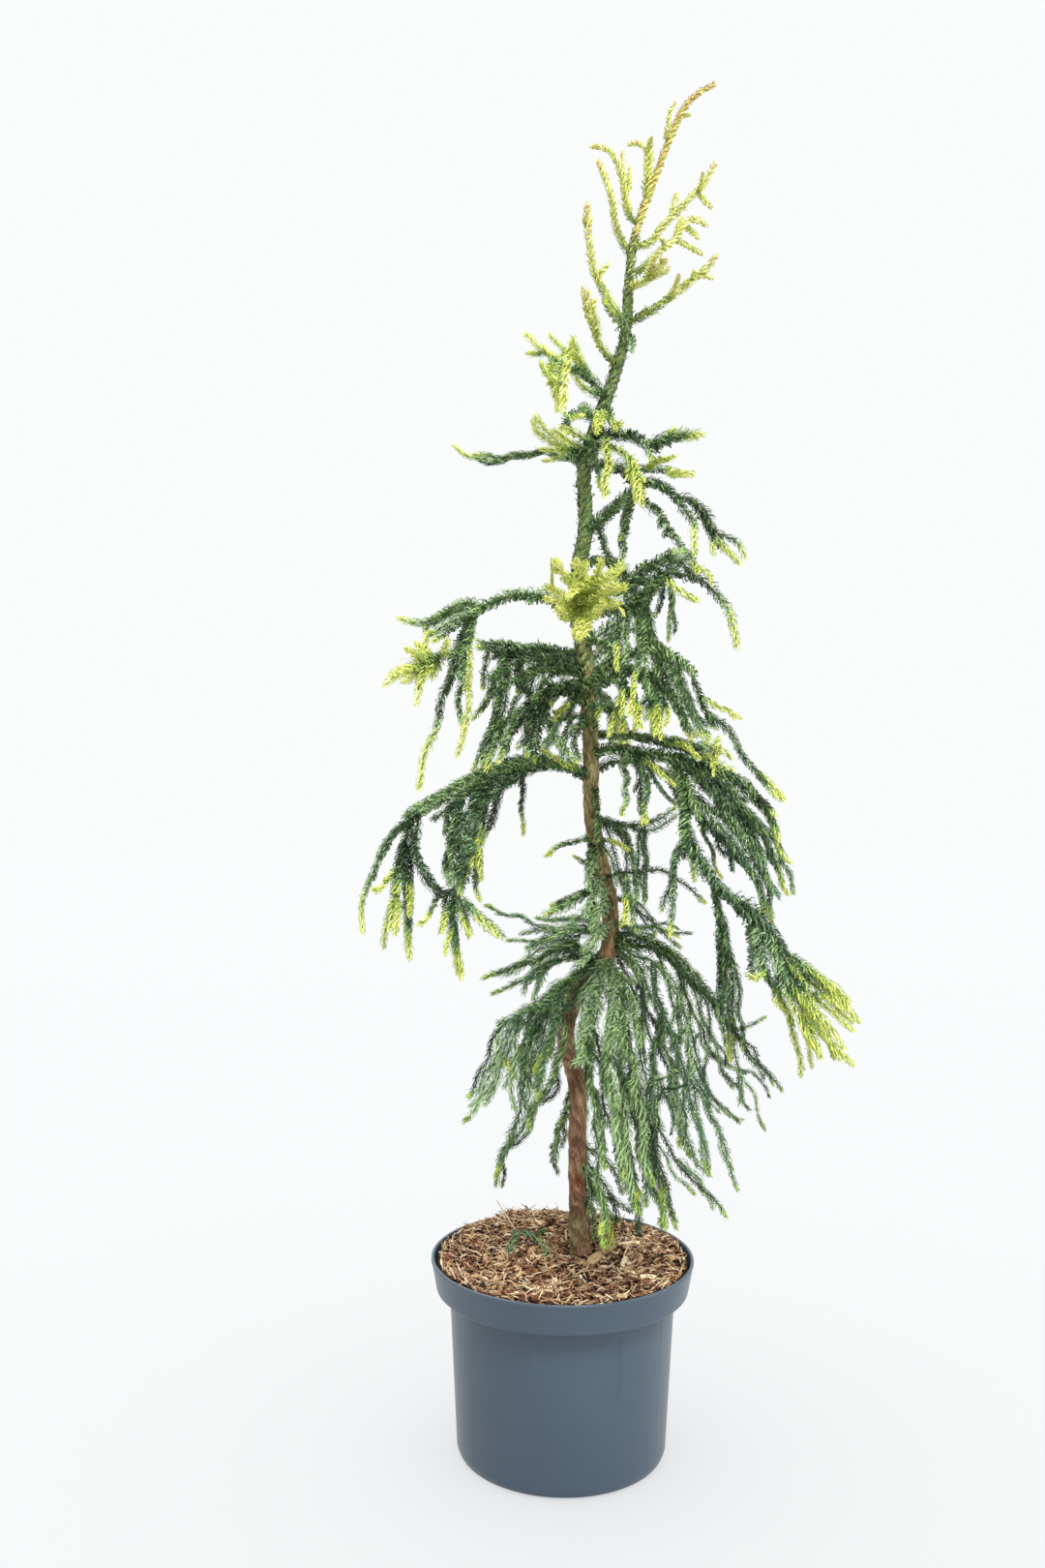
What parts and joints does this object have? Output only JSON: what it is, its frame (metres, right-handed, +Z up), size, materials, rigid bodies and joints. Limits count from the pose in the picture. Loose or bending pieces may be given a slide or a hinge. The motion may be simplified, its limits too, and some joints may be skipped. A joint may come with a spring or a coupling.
{
  "type": "potted weeping cryptomeria",
  "caption": "Young weeping cryptomeria with a twisting stem and long ringlet shoots, standing in a round nursery pot topped with bark mulch.",
  "frame": {"origin": "centre of the pot's flat underside, on the floor", "axes": "+Z up, +X to the right of the front view, +Y away from the front"},
  "size_m": [0.4031, 0.3445, 1.1438],
  "materials": {
    "pot_plastic": "satin",
    "mulch": "matte",
    "bark": "matte",
    "needles_dark": "matte",
    "needles_grey": "matte",
    "needles_gold": "matte"
  },
  "bodies": {
    "root": {"bough_left_high": "bark", "bough_left_low": "bark", "bough_right_drop": "bark", "bough_right_high": "bark", "bough_right_low": "bark", "bough_right_mid": "bark", "bough_skirt_left": "bark", "bough_skirt_right": "bark", "mass_back_high": "needles_dark", "mass_back_low": "needles_dark", "mass_centre_arm": "needles_dark", "mass_centre_arm_low": "needles_dark", "mass_centre_back_drop": "needles_dark", "mass_front_gold": "needles_gold", "mass_gold_right": "needles_gold", "mass_high_arms": "needles_dark", "mass_high_front": "needles_dark", "mass_high_left": "needles_dark", "mass_high_right": "needles_dark", "mass_inner_back": "needles_dark", "mass_inner_far": "needles_dark", "mass_inner_front": "needles_dark", "mass_left_high_drop": "needles_dark", "mass_left_high_gold": "needles_gold", "mass_left_low_drop": "needles_dark", "mass_left_low_inner": "needles_dark", "mass_left_low_outer": "needles_dark", "mass_left_mid_drop": "needles_dark", "mass_left_mid_front": "needles_dark", "mass_right_band": "needles_dark", "mass_right_band_low": "needles_dark", "mass_right_gold_fan": "needles_gold", "mass_right_high_inner": "needles_dark", "mass_right_high_tips": "needles_dark", "mass_right_low_arm": "needles_dark", "mass_right_low_fan": "needles_dark", "mass_right_low_front": "needles_dark", "mass_right_mid_arm": "needles_dark", "mass_right_mid_drop": "needles_dark", "mass_right_mid_tips": "needles_dark", "mass_shoulder_left": "needles_gold", "mass_shoulder_right": "needles_gold", "mass_skirt_back": "needles_grey", "mass_skirt_foot": "needles_grey", "mass_skirt_front": "needles_grey", "mass_skirt_front_long": "needles_grey", "mass_skirt_left_back": "needles_grey", "mass_skirt_left_mid": "needles_grey", "mass_skirt_left_outer": "needles_grey", "mass_skirt_left_thin": "needles_grey", "mass_skirt_right_arm": "needles_grey", "mass_skirt_right_front": "needles_grey", "mass_skirt_right_mid": "needles_grey", "mass_skirt_right_tips": "needles_grey", "mass_top_left": "needles_gold", "mass_top_right": "needles_gold", "pot": "pot_plastic", "soil": "mulch", "trunk": "bark"}
  },
  "joints": []
}
